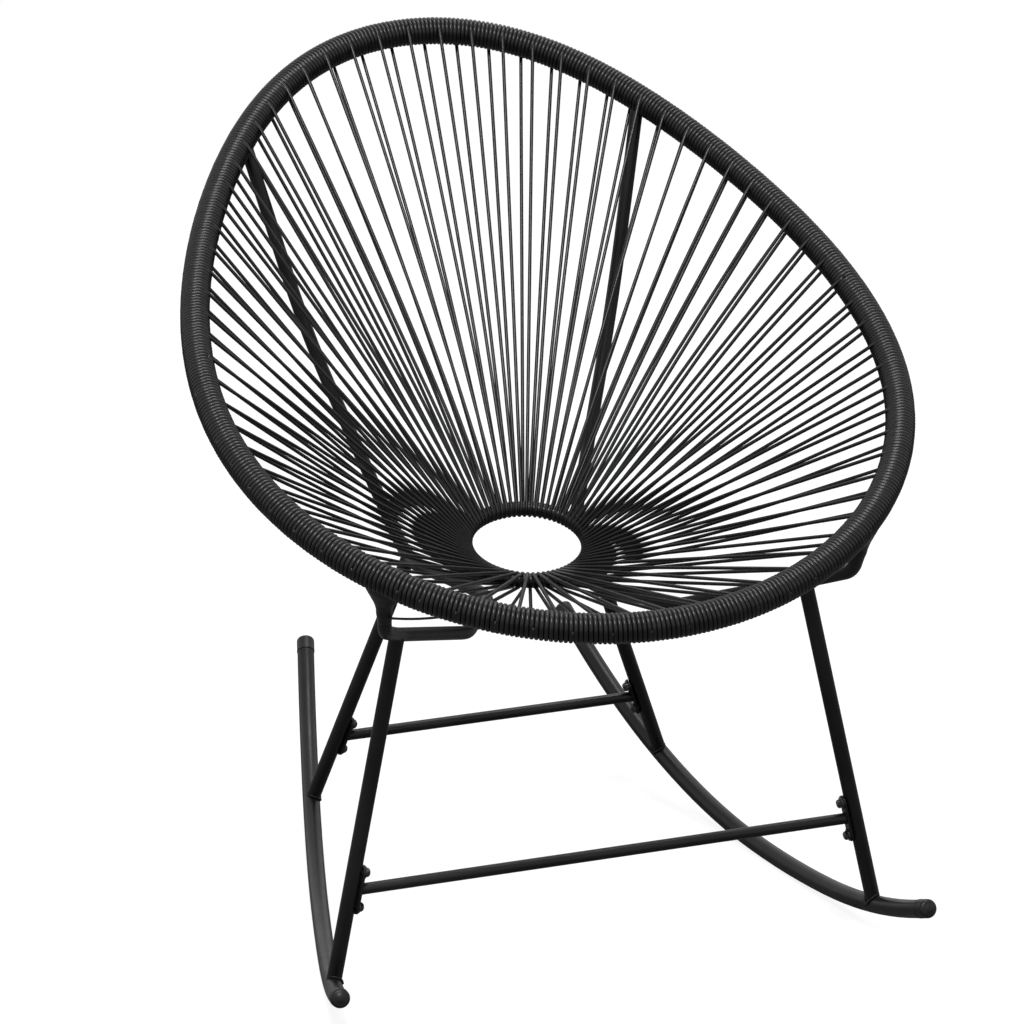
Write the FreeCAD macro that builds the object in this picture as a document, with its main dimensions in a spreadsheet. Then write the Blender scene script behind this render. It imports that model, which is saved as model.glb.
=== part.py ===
import FreeCAD, Part
import math
import os
import Sketcher
from FreeCAD import Placement, Rotation, Vector

# A rocking chair of bent steel tube, strung with round cord. Millimetres, degrees.
# +Z is up, the sitter faces -Y, X is across. The origin is on the floor, under the middle.
doc = FreeCAD.newDocument("rocking_chair")
sheet = doc.addObject("Spreadsheet::Sheet", "sizes")

driving_sizes = (
    # The top hoop, an egg-shaped loop: each line is one wave of its outline.
    ("hoop_half_width", 341.0), ("hoop_narrowing", 42.7), ("hoop_shoulder", 5.1), ("hoop_nose", 3.2),
    ("hoop_centre_y", 22.6), ("hoop_half_depth", 432.3), ("hoop_depth_shift", 22.6),
    ("hoop_centre_height", 655.2), ("hoop_half_rise", 198.7), ("hoop_rise_sag", 5.5), ("hoop_rise_lift", 2.5),
    ("hoop_radius", 10.6), ("tube_wall", 1.5),
    # The small ring in the seat.
    ("ring_radius", 66.0), ("ring_rod_radius", 5.0), ("ring_centre_y", 33.0), ("ring_height", 382.6),
    ("ring_tilt", 17.0),
    # The cord and how it is laid: each layer starts a shift along the hoop and a turn round the ring.
    ("cord_radius", 2.15), ("cords_per_layer", 72), ("fit_gap", 0.3),
    ("upper_cord_shift", -5.5), ("lower_cord_shift", -22.7), ("upper_cord_turn", -4.4),
    ("lower_cord_turn", -6.9), ("cord_passing_gap", 3.4),
    # The two side tubes, from the back of the hoop down, under the seat and up to its front.
    # Their two joints are measured along the hoop from the middle of its back.
    ("side_tube_radius", 7.0), ("rear_joint_length", 275.7), ("front_joint_length", 1027.4),
    ("back_bend_x", 171.0), ("back_bend_y", 263.0), ("back_bend_height", 566.0), ("back_bend_radius", 900.0),
    ("waist_x", 98.0), ("waist_y", 187.0), ("waist_height", 347.0), ("waist_bend_radius", 28.0),
    ("rail_rear_x", 100.0), ("rail_rear_y", 128.0), ("rail_height", 344.0), ("rail_bend_radius", 70.0),
    ("rail_middle_x", 52.0), ("rail_middle_y", -5.0),
    ("rail_front_x", 110.0), ("rail_front_y", -128.0), ("rail_front_height", 353.0),
    ("rail_leg_x", 211.0), ("rail_leg_y", -240.5), ("rail_leg_height", 402.5), ("rail_leg_bend_radius", 90.0),
    ("corner_x", 239.0), ("corner_y", -304.5), ("corner_height", 430.0), ("corner_bend_radius", 30.0),
    ("wrap_thickness", 1.2), ("wrap_start", 16.0), ("wrap_flare", 6.0), ("wrap_flare_length", 22.0),
    # The rockers, each in a plane of its own that leans in and closes to the back.
    ("rocker_radius", 9.5), ("rocker_spread", 250.0), ("rocker_closing", 0.191), ("rocker_leaning", 0.084),
    ("rocker_low_point", -14.0), ("rocker_middle_arc", 1200.0), ("rocker_middle_front", 110.0),
    ("rocker_middle_rear", 40.0), ("rocker_front_arc", 690.0), ("rocker_rear_arc", 738.0),
    ("rocker_front_reach", 330.0), ("rocker_rear_reach", 446.0),
    ("cap_wall", 1.3), ("cap_cover", 20.0), ("cap_dome", 6.0),
    # The legs and the two cross bars.
    ("leg_radius", 7.8), ("front_foot_y", -221.0), ("rear_foot_y", 236.0), ("rear_leg_top_y", 149.0),
    ("bar_radius", 5.8), ("front_bar_height", 134.9), ("rear_bar_height", 129.8),
    ("plate_thickness", 2.5), ("plate_width", 15.0), ("front_bolt_spacing", 38.0),
    ("rear_bolt_spacing", 33.0), ("bolt_radius", 3.0), ("bolt_hole_gap", 0.25), ("bolt_grip", 12.0),
    ("bolt_head_radius", 5.2), ("bolt_head_height", 4.0), ("washer_radius", 6.4), ("washer_thickness", 1.2),
)

for row, (alias, value) in enumerate(driving_sizes, start=1):
    sheet.set("A%d" % row, alias)
    sheet.set("B%d" % row, str(value))
    sheet.setAlias("B%d" % row, alias)
doc.recompute()


def size(alias):
    """Return one driving size as a plain number."""
    return float(sheet.get(alias))


def link(obj, prop, formula):
    """Bind one property to the spreadsheet."""
    obj.setExpression(prop, formula)


SIDES = {"left": -1, "right": 1}
SMOOTH_STEPS = 720
HALF_TURN_ARCS = 12


def mirrored(point, side):
    """Return the point on the left (-1) or right (1) side."""
    return Vector(side * point.x, point.y, point.z)


# Paths


def arc_between(start, heading, end):
    """Return the edge that leaves start along heading and meets end."""
    chord = end - start
    sideways = heading - chord * (heading.dot(chord) / chord.dot(chord))
    if sideways.Length < 1e-7:
        return Part.LineSegment(start, end).toShape()
    turn = heading.getAngle(chord)
    rise = chord.Length / 2 * math.tan(turn / 2)
    middle = start + chord * 0.5 + sideways.normalize() * rise
    return Part.Arc(start, middle, end).toShape()


def two_arcs(start, start_heading, end, end_heading):
    """Return two arcs that run smoothly from one point and heading to another."""
    across = end - start
    headings = start_heading + end_heading
    bend = 2 * (1 - start_heading.dot(end_heading))
    along = across.dot(headings)
    reach = (math.sqrt(along ** 2 + bend * across.dot(across)) - along) / bend
    meeting = (start + start_heading * reach + end - end_heading * reach) * 0.5
    meeting_heading = (end - end_heading * reach - start - start_heading * reach).normalize()
    return [arc_between(start, start_heading, meeting), arc_between(meeting, meeting_heading, end)]


def bent_wire(corners, bend_radii):
    """Return straight runs through the corners, each corner rounded to its bend radius."""
    edges = []
    last = corners[0]
    for before, corner, after, radius in zip(corners, corners[1:], corners[2:], bend_radii):
        into = (corner - before).normalize()
        out = (after - corner).normalize()
        setback = radius * math.tan(into.getAngle(out) / 2)
        bend_start = corner - into * setback
        bend_end = corner + out * setback
        edges.append(Part.LineSegment(last, bend_start).toShape())
        edges.append(arc_between(bend_start, into, bend_end))
        last = bend_end
    edges.append(Part.LineSegment(last, corners[-1]).toShape())
    return Part.Wire(edges)


def rod_along(wire, radius):
    """Return a solid round rod carried along the wire."""
    edge = wire.OrderedEdges[0]
    start = edge.valueAt(edge.FirstParameter)
    heading = edge.tangentAt(edge.FirstParameter)
    ring = Part.Wire([Part.Circle(start, heading, radius).toShape()])
    return wire.makePipeShell([ring], True, False)


def tube_along(wire, radius, wall):
    """Return a hollow round tube carried along the wire."""
    return rod_along(wire, radius).cut(rod_along(wire, radius - wall))


# The hoop's centre line


def hoop_point(angle):
    """Return a point of the hoop; angle 0 is the middle of the back, pi the middle of the front."""
    across = size("hoop_half_width") * math.sin(angle)
    across -= size("hoop_narrowing") * math.sin(2 * angle)
    across += size("hoop_shoulder") * math.sin(3 * angle) + size("hoop_nose") * math.sin(4 * angle)
    along = size("hoop_centre_y") + size("hoop_half_depth") * math.cos(angle)
    along -= size("hoop_depth_shift") * math.cos(2 * angle)
    height = size("hoop_centre_height") + size("hoop_half_rise") * math.cos(angle)
    height -= size("hoop_rise_sag") * math.cos(2 * angle)
    height += size("hoop_rise_lift") * math.cos(3 * angle)
    return Vector(across, along, height)


def hoop_heading(angle):
    """Return the hoop's direction at the angle."""
    step = math.pi / SMOOTH_STEPS
    return (hoop_point(angle + step) - hoop_point(angle - step)).normalize()


hoop_angles = [math.pi * step / SMOOTH_STEPS for step in range(SMOOTH_STEPS + 1)]
hoop_lengths = [0.0]
for before, after in zip(hoop_angles, hoop_angles[1:]):
    hoop_lengths.append(hoop_lengths[-1] + (hoop_point(after) - hoop_point(before)).Length)
half_length = hoop_lengths[-1]


def hoop_angle(length):
    """Return the hoop's angle at a length along it from the middle of its back, right side positive."""
    side = math.copysign(1, length)
    reach = abs(length)
    if reach > half_length:
        side = -side
        reach = 2 * half_length - reach
    upper = next(i for i, passed in enumerate(hoop_lengths) if passed >= reach - 1e-9)
    if upper == 0:
        return 0.0
    share = (reach - hoop_lengths[upper - 1]) / (hoop_lengths[upper] - hoop_lengths[upper - 1])
    return side * (hoop_angles[upper - 1] + share * (hoop_angles[upper] - hoop_angles[upper - 1]))


def half_hoop_wire():
    """Return the right half of the hoop's centre line as smooth arcs."""
    edges = []
    for part in range(HALF_TURN_ARCS):
        start = hoop_angle(half_length * part / HALF_TURN_ARCS)
        end = hoop_angle(half_length * (part + 1) / HALF_TURN_ARCS)
        start_heading = Vector(1, 0, 0) if part == 0 else hoop_heading(start)
        end_heading = Vector(-1, 0, 0) if part == HALF_TURN_ARCS - 1 else hoop_heading(end)
        edges += two_arcs(hoop_point(start), start_heading, hoop_point(end), end_heading)
    return Part.Wire(edges)


def whole_hoop(radius):
    """Return the hoop as one solid rod of the given radius."""
    right = rod_along(half_hoop_wire(), radius)
    left = right.mirror(Vector(0, 0, 0), Vector(1, 0, 0))
    return right.fuse(left).removeSplitter()


def add_shape(label, shape):
    """Add one sub-part whose shape is worked out from the sheet."""
    part = doc.addObject("Part::Feature", label)
    part.Label = label
    part.Shape = shape
    part.Placement = Placement()
    return part


def place(origin, x_axis, y_axis):
    """Return the placement with its X and Y axes along the two directions."""
    z_axis = x_axis.cross(y_axis)
    return Placement(origin, Rotation(x_axis, y_axis, z_axis, "ZXY"))


def rotation_from_z(direction):
    """Return the rotation that turns +Z to the direction."""
    return Rotation(Vector(0, 0, 1), direction)


# PartDesign pieces


def new_body(label):
    """Add a body under its own name."""
    body = doc.addObject("PartDesign::Body", label)
    body.Label = label
    return body


def new_sketch(body, label, plane_role):
    """Add a sketch on one of the body's own origin planes."""
    plane = next(item for item in body.Origin.OriginFeatures if item.Role == plane_role)
    sketch = body.newObject("Sketcher::SketchObject", label)
    sketch.AttachmentSupport = [(plane, "")]
    sketch.MapMode = "FlatFace"
    return sketch


def add_circle(sketch, x, y, formula):
    """Draw a circle whose radius follows a formula on the sheet."""
    index = sketch.addGeometry(Part.Circle(Vector(x, y, 0), Vector(0, 0, 1), 1.0), False)
    radius = sketch.addConstraint(Sketcher.Constraint("Radius", index, 5.0))
    sketch.setExpression("Constraints[%d]" % radius, formula)
    return index


def padded_tube(label, start, end, radius_formula, bore_formula):
    """Add a body: a straight tube padded from start to end."""
    body = new_body(label)
    sketch = new_sketch(body, label + "_section", "XY_Plane")
    add_circle(sketch, 0, 0, radius_formula)
    add_circle(sketch, 0, 0, bore_formula)
    pad = body.newObject("PartDesign::Pad", label + "_pad")
    pad.Profile = sketch
    pad.Length = (end - start).Length
    body.Placement = Placement(start, rotation_from_z(end - start))
    return body


def cut_part(label, base, tool):
    """Add a sub-part: base with tool taken away."""
    part = doc.addObject("Part::Cut", label)
    part.Label = label
    part.Base = base
    part.Tool = tool
    return part


# Places that several pieces share

rear_joint = hoop_point(hoop_angle(size("rear_joint_length")))
front_joint = hoop_point(hoop_angle(size("front_joint_length")))
corner = Vector(size("corner_x"), size("corner_y"), size("corner_height"))
rail_leg = Vector(size("rail_leg_x"), size("rail_leg_y"), size("rail_leg_height"))
rail_rear = Vector(size("rail_rear_x"), size("rail_rear_y"), size("rail_height"))
waist = Vector(size("waist_x"), size("waist_y"), size("waist_height"))
winding_radius = size("hoop_radius") + size("fit_gap") + 2 * size("cord_radius")
wrap_inside = size("side_tube_radius") + size("fit_gap")
wrap_outside = wrap_inside + size("wrap_thickness")


def side_wire(side):
    """Return one side tube's centre line, from the hoop's back to its front."""
    corners = (
        rear_joint,
        Vector(size("back_bend_x"), size("back_bend_y"), size("back_bend_height")),
        waist,
        rail_rear,
        Vector(size("rail_middle_x"), size("rail_middle_y"), size("rail_height")),
        Vector(size("rail_front_x"), size("rail_front_y"), size("rail_front_height")),
        rail_leg,
        corner,
        front_joint,
    )
    bends = (
        size("back_bend_radius"),
        size("waist_bend_radius"),
        size("rail_bend_radius"),
        size("rail_bend_radius"),
        size("rail_bend_radius"),
        size("rail_leg_bend_radius"),
        size("corner_bend_radius"),
    )
    return bent_wire([mirrored(point, side) for point in corners], bends)


# The rocker's plane and its centre line

flat_run = Vector(-size("rocker_closing"), 1, 0).normalize()
plane_normal = Vector(1, size("rocker_closing"), size("rocker_leaning")).normalize()
plane_rise = plane_normal.cross(flat_run)


def rocker_outline():
    """Return the rocker's three arcs in its own plane: low middle, front and rear."""
    low = Vector(size("rocker_low_point"), size("rocker_radius") / plane_rise.z, 0)
    middle_centre = low + Vector(0, size("rocker_middle_arc"), 0)

    def swing(centre, radius, angle):
        return centre + Vector(radius * math.sin(angle), -radius * math.cos(angle), 0)

    def end_arc(reach_to_joint, radius, reach, way):
        joint_angle = way * math.asin(reach_to_joint / size("rocker_middle_arc"))
        joint = swing(middle_centre, size("rocker_middle_arc"), joint_angle)
        centre = joint + (middle_centre - joint).normalize() * radius
        end_angle = math.asin((way * reach - centre.x) / radius)
        middle = swing(centre, radius, (joint_angle + end_angle) / 2)
        return joint, middle, swing(centre, radius, end_angle)

    front = end_arc(size("rocker_middle_front"), size("rocker_front_arc"), size("rocker_front_reach"), -1)
    rear = end_arc(size("rocker_middle_rear"), size("rocker_rear_arc"), size("rocker_rear_reach"), 1)
    arcs = ((front[2], front[1], front[0]), (front[0], low, rear[0]), rear)
    return [Part.ArcOfCircle(*points) for points in arcs]


rocker_arcs = rocker_outline()


def rocker_placement(side):
    """Return the place of one rocker's plane."""
    origin = mirrored(Vector(size("rocker_spread"), 0, 0), side)
    return place(origin, mirrored(flat_run, side), mirrored(plane_rise, side))


def rocker_wire(side):
    """Return one rocker's centre line in the chair's own frame."""
    wire = Part.Wire([arc.toShape() for arc in rocker_arcs])
    wire.Placement = rocker_placement(side)
    return wire


def rocker_spot(reach):
    """Return the right rocker's centre at a reach along its plane."""
    for arc in rocker_arcs:
        start, end = arc.StartPoint, arc.EndPoint
        if start.x <= reach <= end.x:
            drop = math.sqrt(arc.Radius ** 2 - (reach - arc.Center.x) ** 2)
            flat = Vector(reach, arc.Center.y - drop, 0)
    return rocker_placement(1).multVec(flat)


# The hoop and the cord wound on it


def make_hoop():
    """Add the bare steel hoop, hollow."""
    shape = whole_hoop(size("hoop_radius")).cut(whole_hoop(size("hoop_radius") - size("tube_wall")))
    add_shape("rim_hoop", shape)


def joint_bores(radius):
    """Return the four rods that clear the side tubes' ends through the winding."""
    rods = []
    back_bend = Vector(size("back_bend_x"), size("back_bend_y"), size("back_bend_height"))
    for joint, inner in ((rear_joint, back_bend), (front_joint, corner)):
        for side in SIDES.values():
            start = mirrored(joint, side)
            heading = mirrored(inner, side) - start
            rods.append(Part.makeCylinder(radius, 3 * size("hoop_radius"), start, heading))
    return rods


def make_rim_winding():
    """Add the cord wound round the hoop, as one sleeve."""
    sleeve = whole_hoop(winding_radius).cut(whole_hoop(size("hoop_radius") + size("fit_gap")))
    bores = joint_bores(size("side_tube_radius") + size("fit_gap"))
    add_shape("rim_winding", sleeve.cut(bores))


# The seat ring and the cord round it


def add_torus(label, tube_formula):
    """Add a torus on the seat ring's centre line."""
    torus = doc.addObject("Part::Torus", label)
    link(torus, "Radius1", "sizes.ring_radius")
    link(torus, "Radius2", tube_formula)
    centre = Vector(0, size("ring_centre_y"), size("ring_height"))
    torus.Placement = Placement(centre, Rotation(Vector(1, 0, 0), size("ring_tilt")))
    return torus


def make_ring():
    """Add the steel ring and the cord wound on it."""
    ring = add_torus("seat_ring", "sizes.ring_rod_radius")
    ring.Label = "seat_ring"
    outside = add_torus("ring_winding_outside", "sizes.ring_rod_radius + sizes.fit_gap + 2 * sizes.cord_radius")
    inside = add_torus("ring_winding_inside", "sizes.ring_rod_radius + sizes.fit_gap")
    cut_part("ring_winding", outside, inside)


def ring_frame(angle):
    """Return a centre point of the seat ring and its direction there; angle 0 is its back."""
    tilt = Rotation(Vector(1, 0, 0), size("ring_tilt"))
    out = tilt.multVec(Vector(math.sin(angle), math.cos(angle), 0))
    heading = tilt.multVec(Vector(math.cos(angle), -math.sin(angle), 0))
    centre = Vector(0, size("ring_centre_y"), size("ring_height"))
    return centre + out * size("ring_radius"), heading


# The strung cords


def cord_between(rim, rim_heading, ring, ring_heading, layer):
    """Return one taut cord of the upper (1) or lower (-1) layer."""
    radius = size("cord_radius")
    run = (ring - rim).normalize()
    rim_side = rim_heading.cross(run).normalize()
    ring_side = ring_heading.cross(run).normalize()
    rim_side *= layer * math.copysign(1, rim_side.z)
    ring_side *= layer * math.copysign(1, ring_side.z)
    rim_offset = size("hoop_radius") + size("fit_gap") + radius
    rim_clear = winding_radius + size("fit_gap")
    start = rim + rim_side * rim_offset + run * math.sqrt(rim_clear ** 2 - (rim_offset - radius) ** 2)
    ring_offset = size("ring_rod_radius") + size("fit_gap") + radius
    ring_clear = size("ring_rod_radius") + 2 * size("fit_gap") + 2 * radius
    end = ring + ring_side * ring_offset - run * math.sqrt(ring_clear ** 2 - (ring_offset - radius) ** 2)
    return Part.makeCylinder(radius, (end - start).Length, start, end - start)


def beside_joints(length):
    """Return a length along the hoop, moved aside where a side tube stands in the cord's way."""
    passing = size("cord_radius") + size("cord_passing_gap")
    joints = (
        (size("rear_joint_length"), wrap_inside + passing),
        (size("front_joint_length"), wrap_outside + size("wrap_flare") + passing),
    )
    for joint, clearance in joints:
        for side in SIDES.values():
            away = length - side * joint
            if abs(away) < clearance:
                return side * joint + math.copysign(clearance, away)
    return length


def make_cords():
    """Add the two layers of cords strung from the hoop to the ring."""
    count = int(size("cords_per_layer"))
    for label, layer, layer_name in (("seat_cords_upper", 1, "upper"), ("seat_cords_lower", -1, "lower")):
        cords = []
        for station in range(-count // 2, count // 2):
            length = size(layer_name + "_cord_shift") + 2 * half_length * station / count
            if layer < 0:
                length = beside_joints(length)
            angle = hoop_angle(length)
            turn = size(layer_name + "_cord_turn") + 360 * station / count
            ring, ring_heading = ring_frame(math.radians(turn))
            cords.append(cord_between(hoop_point(angle), hoop_heading(angle), ring, ring_heading, layer))
        add_shape(label, Part.makeCompound(cords))


# The side tubes


def make_side_tube(name, side):
    """Add one side tube, its ends fitted to the hoop."""
    shape = tube_along(side_wire(side), size("side_tube_radius"), size("tube_wall"))
    shape = shape.cut(whole_hoop(size("hoop_radius") + size("fit_gap")))
    largest = max(shape.Solids, key=lambda solid: solid.Volume)
    add_shape(name + "_side_tube", largest)


def make_wrap(name, side):
    """Add the wrap round one side tube's front upright, flared where it meets the hoop."""
    start = mirrored(corner, side)
    up = mirrored(front_joint - corner, side)
    length = up.Length
    flare_start = length - winding_radius - size("wrap_flare_length")
    profile = Part.makePolygon([
        Vector(wrap_inside, 0, size("wrap_start")),
        Vector(wrap_outside, 0, size("wrap_start")),
        Vector(wrap_outside, 0, flare_start),
        Vector(wrap_outside + size("wrap_flare"), 0, length),
        Vector(wrap_inside, 0, length),
        Vector(wrap_inside, 0, size("wrap_start")),
    ])
    sleeve = Part.Face(profile).revolve(Vector(0, 0, 0), Vector(0, 0, 1), 360)
    sleeve.Placement = Placement(start, rotation_from_z(up))
    sleeve = sleeve.cut(whole_hoop(winding_radius + size("fit_gap")))
    largest = max(sleeve.Solids, key=lambda solid: solid.Volume)
    add_shape(name + "_front_wrap", largest)


# The rockers and their caps


def make_rocker(name, side):
    """Add one bent rocker tube."""
    body = new_body(name + "_rocker")
    path = new_sketch(body, name + "_rocker_path", "XY_Plane")
    path.addGeometry(list(rocker_arcs), False)
    for index in range(len(rocker_arcs)):
        path.addConstraint(Sketcher.Constraint("Block", index))
    front = rocker_arcs[0].StartPoint
    lean = rocker_arcs[0].Center - front
    section = new_sketch(body, name + "_rocker_section", "YZ_Plane")
    add_circle(section, 0, 0, "sizes.rocker_radius")
    add_circle(section, 0, 0, "sizes.rocker_radius - sizes.tube_wall")
    tilt = math.degrees(math.atan2(-lean.x, lean.y))
    section.AttachmentOffset = Placement(Vector(front.y, 0, front.x), Rotation(Vector(0, 1, 0), tilt))
    pipe = body.newObject("PartDesign::AdditivePipe", name + "_rocker_pipe")
    pipe.Profile = section
    pipe.Spine = (path, ["Edge%d" % (index + 1) for index in range(len(rocker_arcs))])
    body.Placement = rocker_placement(side)


def make_cap(name, side, end):
    """Add the cap pushed over one end of a rocker."""
    arc = rocker_arcs[0] if end == "front" else rocker_arcs[2]
    tip = arc.StartPoint if end == "front" else arc.EndPoint
    to_centre = (arc.Center - tip).normalize()
    outward = Vector(to_centre.y, -to_centre.x, 0) * (-1 if end == "front" else 1)
    body = new_body("%s_rocker_%s_cap" % (name, end))
    sketch = new_sketch(body, "%s_%s_cap_profile" % (name, end), "XZ_Plane")
    inner = size("rocker_radius") + size("fit_gap")
    outer = inner + size("cap_wall")
    cover = size("cap_cover")
    floor = size("fit_gap")
    dome = size("cap_dome")
    edge = Vector(outer, floor, 0)
    rise = size("cap_wall") + dome
    ball = (outer ** 2 + rise ** 2) / (2 * rise)
    centre = Vector(0, floor + rise - ball, 0)
    half_angle = math.asin(outer / ball) / 2
    half = centre + Vector(ball * math.sin(half_angle), ball * math.cos(half_angle), 0)
    top = centre + Vector(0, ball, 0)
    outline = [
        Part.LineSegment(Vector(inner, -cover, 0), Vector(outer, -cover, 0)),
        Part.LineSegment(Vector(outer, -cover, 0), edge),
        Part.Arc(edge, half, top),
        Part.LineSegment(top, Vector(0, floor, 0)),
        Part.LineSegment(Vector(0, floor, 0), Vector(inner, floor, 0)),
        Part.LineSegment(Vector(inner, floor, 0), Vector(inner, -cover, 0)),
    ]
    sketch.addGeometry(outline, False)
    turned = body.newObject("PartDesign::Revolution", "%s_%s_cap_turned" % (name, end))
    turned.Profile = sketch
    turned.ReferenceAxis = (sketch, ["V_Axis"])
    turned.Angle = 360
    flat = Placement(tip, rotation_from_z(outward))
    body.Placement = rocker_placement(side).multiply(flat)


# The legs, the cross bars and their fastenings

front_leg_ends = (rocker_spot(size("front_foot_y")), rail_leg)
rear_share = (waist.y - size("rear_leg_top_y")) / (waist.y - rail_rear.y)
rear_leg_ends = (rocker_spot(size("rear_foot_y")), waist + (rail_rear - waist) * rear_share)


class BarEnd:
    """The right-hand end of one cross bar: where its plate, bolts and leg meet."""

    def __init__(self, leg_ends, height, bolt_spacing):
        foot, top = leg_ends
        self.leg_way = (top - foot).normalize()
        self.on_leg = foot + (top - foot) * ((height - foot.z) / (top.z - foot.z))
        inward = Vector(-1, 0, 0)
        self.inward = (inward - self.leg_way * inward.dot(self.leg_way)).normalize()
        self.seat = self.on_leg + self.inward * (size("leg_radius") + size("fit_gap"))
        self.bolt_spacing = bolt_spacing

    def bolt_spots(self, lift):
        """Return the two bolt axes' points, lift away from the plate's back."""
        half = self.leg_way * (self.bolt_spacing / 2)
        return [self.seat + self.inward * lift + half * way for way in (-1, 1)]


bar_ends = {
    "front": BarEnd(front_leg_ends, size("front_bar_height"), size("front_bolt_spacing")),
    "rear": BarEnd(rear_leg_ends, size("rear_bar_height"), size("rear_bolt_spacing")),
}


def make_leg(name, side, end, leg_ends):
    """Add one leg: a tube fitted to the rocker below and the side tube above."""
    foot, top = (mirrored(point, side) for point in leg_ends)
    blank = padded_tube("%s_%s_leg_blank" % (name, end), foot, top,
                        "sizes.leg_radius", "sizes.leg_radius - sizes.tube_wall")
    tools = [
        rod_along(rocker_wire(side), size("rocker_radius") + size("fit_gap")),
        rod_along(side_wire(side), size("side_tube_radius") + size("fit_gap")),
    ]
    bar_end = bar_ends[end]
    for spot in bar_end.bolt_spots(0):
        axis = mirrored(bar_end.inward * -1, side)
        tools.append(Part.makeCylinder(size("bolt_radius") + size("bolt_hole_gap"), size("leg_radius"),
                                       mirrored(spot, side), axis))
    hidden = add_shape("%s_%s_leg_fitting" % (name, end), Part.makeCompound(tools))
    return cut_part("%s_%s_leg" % (name, end), blank, hidden)


def make_plate(name, side, end):
    """Add the plate on one end of a cross bar, with its two bolt holes."""
    bar_end = bar_ends[end]
    body = new_body("%s_%s_plate" % (name, end))
    sketch = new_sketch(body, "%s_%s_plate_outline" % (name, end), "XY_Plane")
    half_width = size("plate_width") / 2
    half_spacing = bar_end.bolt_spacing / 2
    corners = [Vector(x, y, 0) for x, y in ((-half_width, -half_spacing), (half_width, -half_spacing),
                                            (half_width, half_spacing), (-half_width, half_spacing))]
    outline = [
        Part.LineSegment(corners[1], corners[2]),
        Part.Arc(corners[2], Vector(0, half_spacing + half_width, 0), corners[3]),
        Part.LineSegment(corners[3], corners[0]),
        Part.Arc(corners[0], Vector(0, -half_spacing - half_width, 0), corners[1]),
    ]
    sketch.addGeometry(outline, False)
    for way in (-1, 1):
        add_circle(sketch, 0, way * half_spacing, "sizes.bolt_radius + sizes.bolt_hole_gap")
    pad = body.newObject("PartDesign::Pad", "%s_%s_plate_pad" % (name, end))
    pad.Profile = sketch
    link(pad, "Length", "sizes.plate_thickness")
    inward = mirrored(bar_end.inward, side)
    leg_way = mirrored(bar_end.leg_way, side)
    body.Placement = place(mirrored(bar_end.seat, side), leg_way.cross(inward), leg_way)


def make_bar(end):
    """Add one cross bar, cut off along its two plates."""
    bar_end = bar_ends[end]
    reach = bar_end.on_leg.x
    middle = bar_end.seat
    start = Vector(-reach, middle.y, middle.z)
    finish = Vector(reach, middle.y, middle.z)
    blank = padded_tube("%s_bar_blank" % end, start, finish,
                        "sizes.bar_radius", "sizes.bar_radius - sizes.tube_wall")
    ends = []
    block = 4 * size("leg_radius")
    for side in SIDES.values():
        face = mirrored(bar_end.seat + bar_end.inward * (size("plate_thickness") + size("fit_gap")), side)
        outward = mirrored(bar_end.inward * -1, side)
        box = Part.makeBox(2 * block, 2 * block, block, Vector(-block, -block, 0))
        box.Placement = Placement(face, rotation_from_z(outward))
        ends.append(box)
    hidden = add_shape("%s_bar_ends" % end, Part.makeCompound(ends))
    cut_part("%s_crossbar" % end, blank, hidden)


def bolt_shape(spot, inward):
    """Return one bolt: a six-sided domed head and a round shank."""
    head = size("bolt_head_height")
    hexagon = [Vector(size("bolt_head_radius") * math.cos(math.radians(60 * i)),
                      size("bolt_head_radius") * math.sin(math.radians(60 * i)), 0) for i in range(7)]
    block = Part.Face(Part.makePolygon(hexagon)).extrude(Vector(0, 0, head))
    dome = Part.makeCone(size("bolt_head_radius") + head / 2, size("bolt_head_radius") - head / 2, head)
    shank = Part.makeCylinder(size("bolt_radius"), size("bolt_grip"), Vector(0, 0, -size("bolt_grip")))
    bolt = block.common(dome).fuse(shank).removeSplitter()
    bolt.Placement = Placement(spot, rotation_from_z(inward))
    return bolt


def make_fastenings():
    """Add the bolts and washers that hold the cross bars' plates to the legs."""
    bolts = []
    washers = []
    plate_face = size("plate_thickness") + size("fit_gap")
    thickness = size("washer_thickness")
    for bar_end in bar_ends.values():
        for side in SIDES.values():
            inward = mirrored(bar_end.inward, side)
            for spot in bar_end.bolt_spots(plate_face):
                disc = Part.makeCylinder(size("washer_radius"), thickness)
                hole = Part.makeCylinder(size("bolt_radius") + size("bolt_hole_gap"), thickness)
                washer = disc.cut(hole)
                washer.Placement = Placement(mirrored(spot, side), rotation_from_z(inward))
                washers.append(washer)
            for spot in bar_end.bolt_spots(plate_face + thickness + size("fit_gap")):
                bolts.append(bolt_shape(mirrored(spot, side), inward))
    add_shape("crossbar_bolts", Part.makeCompound(bolts))
    add_shape("crossbar_washers", Part.makeCompound(washers))


make_hoop()
make_rim_winding()
make_ring()
make_cords()
for side_name, side_sign in SIDES.items():
    make_side_tube(side_name, side_sign)
    make_wrap(side_name, side_sign)
    make_rocker(side_name, side_sign)
    for rocker_end in ("front", "rear"):
        make_cap(side_name, side_sign, rocker_end)
        make_plate(side_name, side_sign, rocker_end)
    make_leg(side_name, side_sign, "front", front_leg_ends)
    make_leg(side_name, side_sign, "rear", rear_leg_ends)
for bar_name in bar_ends:
    make_bar(bar_name)
make_fastenings()
doc.recompute()

# The files

NODES = ["rim_hoop", "rim_winding", "seat_ring", "ring_winding", "seat_cords_upper", "seat_cords_lower",
         "front_crossbar", "rear_crossbar", "crossbar_bolts", "crossbar_washers"]
for side_name in SIDES:
    NODES += [side_name + "_" + ending for ending in (
        "side_tube", "front_wrap", "rocker", "rocker_front_cap", "rocker_rear_cap",
        "front_leg", "rear_leg", "front_plate", "rear_plate")]

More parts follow.
